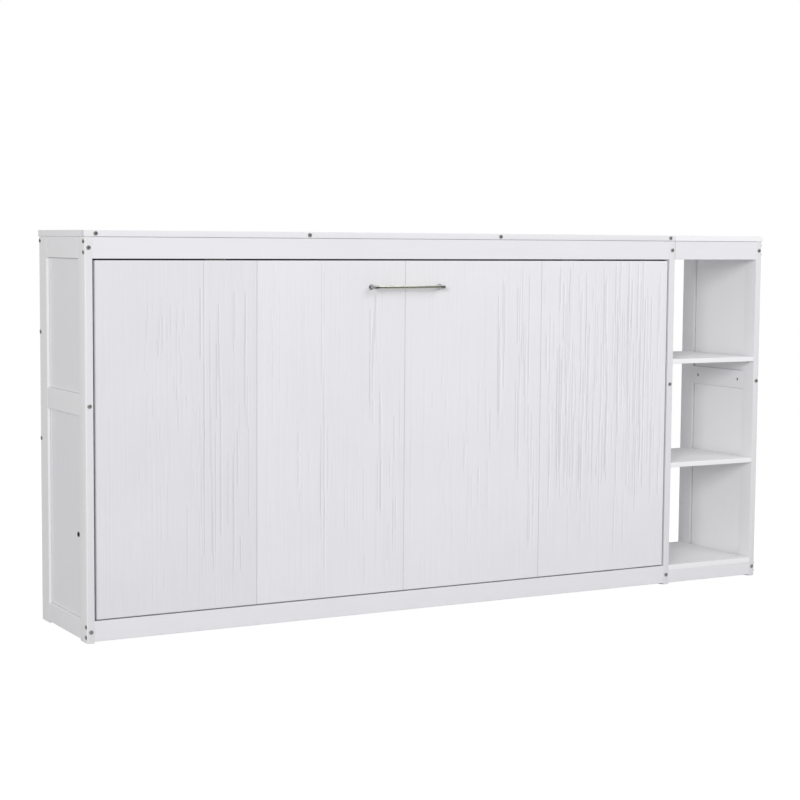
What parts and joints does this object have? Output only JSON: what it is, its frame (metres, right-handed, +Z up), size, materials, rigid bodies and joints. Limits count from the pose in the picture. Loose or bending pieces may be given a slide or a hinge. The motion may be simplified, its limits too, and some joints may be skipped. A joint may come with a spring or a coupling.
{
  "type": "murphy wall bed",
  "caption": "Low horizontal fold-down wall bed: a plank-fronted bed box that swings out of a white framed cabinet, with an open shelf unit at one end.",
  "frame": {"origin": "on the floor, at the centre of the closed object's box, which runs from the handle's front to the wall side", "axes": "+Z up, +X along the length towards the shelf unit, +Y towards the wall"},
  "size_m": [2.407, 0.431, 1.164],
  "materials": {
    "white_paint": "satin white paint on smooth solid wood",
    "white_panel": "satin white paint on thin sheet",
    "front_board": "white paint on board with brushed vertical grain",
    "pine": "plain sanded pine",
    "bronze_bolt": "antique bronze plate, slightly worn",
    "dark_steel": "dark zinc plate",
    "zinc_steel": "bright zinc plate",
    "white_metal": "white powder coat on flat steel",
    "handle_brass": "brushed champagne brass",
    "handle_nickel": "polished nickel",
    "white_plastic": "matt nylon",
    "catch_plastic": "matt moulded plastic",
    "foot_rubber": "matt black rubber"
  },
  "bodies": {
    "cabinet": {"left_front_stile": "white_paint", "left_rear_stile": "white_paint", "left_top_rail": "white_paint", "left_mid_rail": "white_paint", "left_bottom_rail": "white_paint", "left_panels": "white_panel", "middle_front_stile": "white_paint", "middle_rear_stile": "white_paint", "middle_top_rail": "white_paint", "middle_mid_rail": "white_paint", "middle_bottom_rail": "white_paint", "middle_panels": "white_panel", "right_front_stile": "white_paint", "right_rear_stile": "white_paint", "right_top_rail": "white_paint", "right_mid_rail": "white_paint", "right_bottom_rail": "white_paint", "right_panels": "white_panel", "top_nosing": "white_paint", "top_board": "white_paint", "shelf_unit_top": "white_paint", "front_apron": "white_paint", "front_bottom_rail": "white_paint", "shelf_unit_apron": "white_paint", "shelf_unit_kick_rail": "white_paint", "rear_top_rail": "white_paint", "rear_bottom_rail": "white_paint", "rear_middle_rails": "white_paint", "shelf_upper": "white_paint", "shelf_lower": "white_paint", "shelf_floor": "white_paint", "shelf_pins": "zinc_steel", "foot_glides": "white_plastic", "frame_bolts": "bronze_bolt", "barrel_nuts": "dark_steel", "joining_studs": "zinc_steel", "pivot_bolts": "dark_steel", "pivot_blocks": "white_paint", "pivot_washers": "white_plastic", "catch_magnets": "catch_plastic"},
    "bed": {"front_plank_1": "front_board", "front_plank_2": "front_board", "front_plank_3": "front_board", "front_plank_4": "front_board", "bed_left_rail": "white_paint", "bed_right_rail": "white_paint", "bed_inner_rail": "white_paint", "bed_outer_rail": "white_paint", "bed_centre_beam": "pine", "slat_ledgers": "pine", "bed_slats": "pine", "pivot_plates": "zinc_steel", "strike_plates": "zinc_steel", "handle_bar": "handle_brass", "handle_posts": "handle_nickel", "leg_pins": "zinc_steel"},
    "leg_left": {"left_leg": "white_metal", "left_leg_foot": "foot_rubber"},
    "leg_right": {"right_leg": "white_metal", "right_leg_foot": "foot_rubber"}
  },
  "joints": [
    {"name": "bed_fold", "type": "hinge", "parent": "cabinet", "child": "bed", "pos_m": [-0.183, -0.0925, 0.302], "axis": [1, 0, 0], "range_deg": [0, 90]},
    {"name": "leg_left_swing", "type": "hinge", "parent": "bed", "child": "leg_left", "pos_m": [-1.174, -0.1005, 1.03], "axis": [1, 0, 0], "range_deg": [-90, 0]},
    {"name": "leg_right_swing", "type": "hinge", "parent": "bed", "child": "leg_right", "pos_m": [0.808, -0.1005, 1.03], "axis": [1, 0, 0], "range_deg": [-90, 0]}
  ],
  "couplings": [
    {"joint": "leg_left_swing", "follows": "bed_fold", "ratio": -1},
    {"joint": "leg_right_swing", "follows": "bed_fold", "ratio": -1}
  ]
}
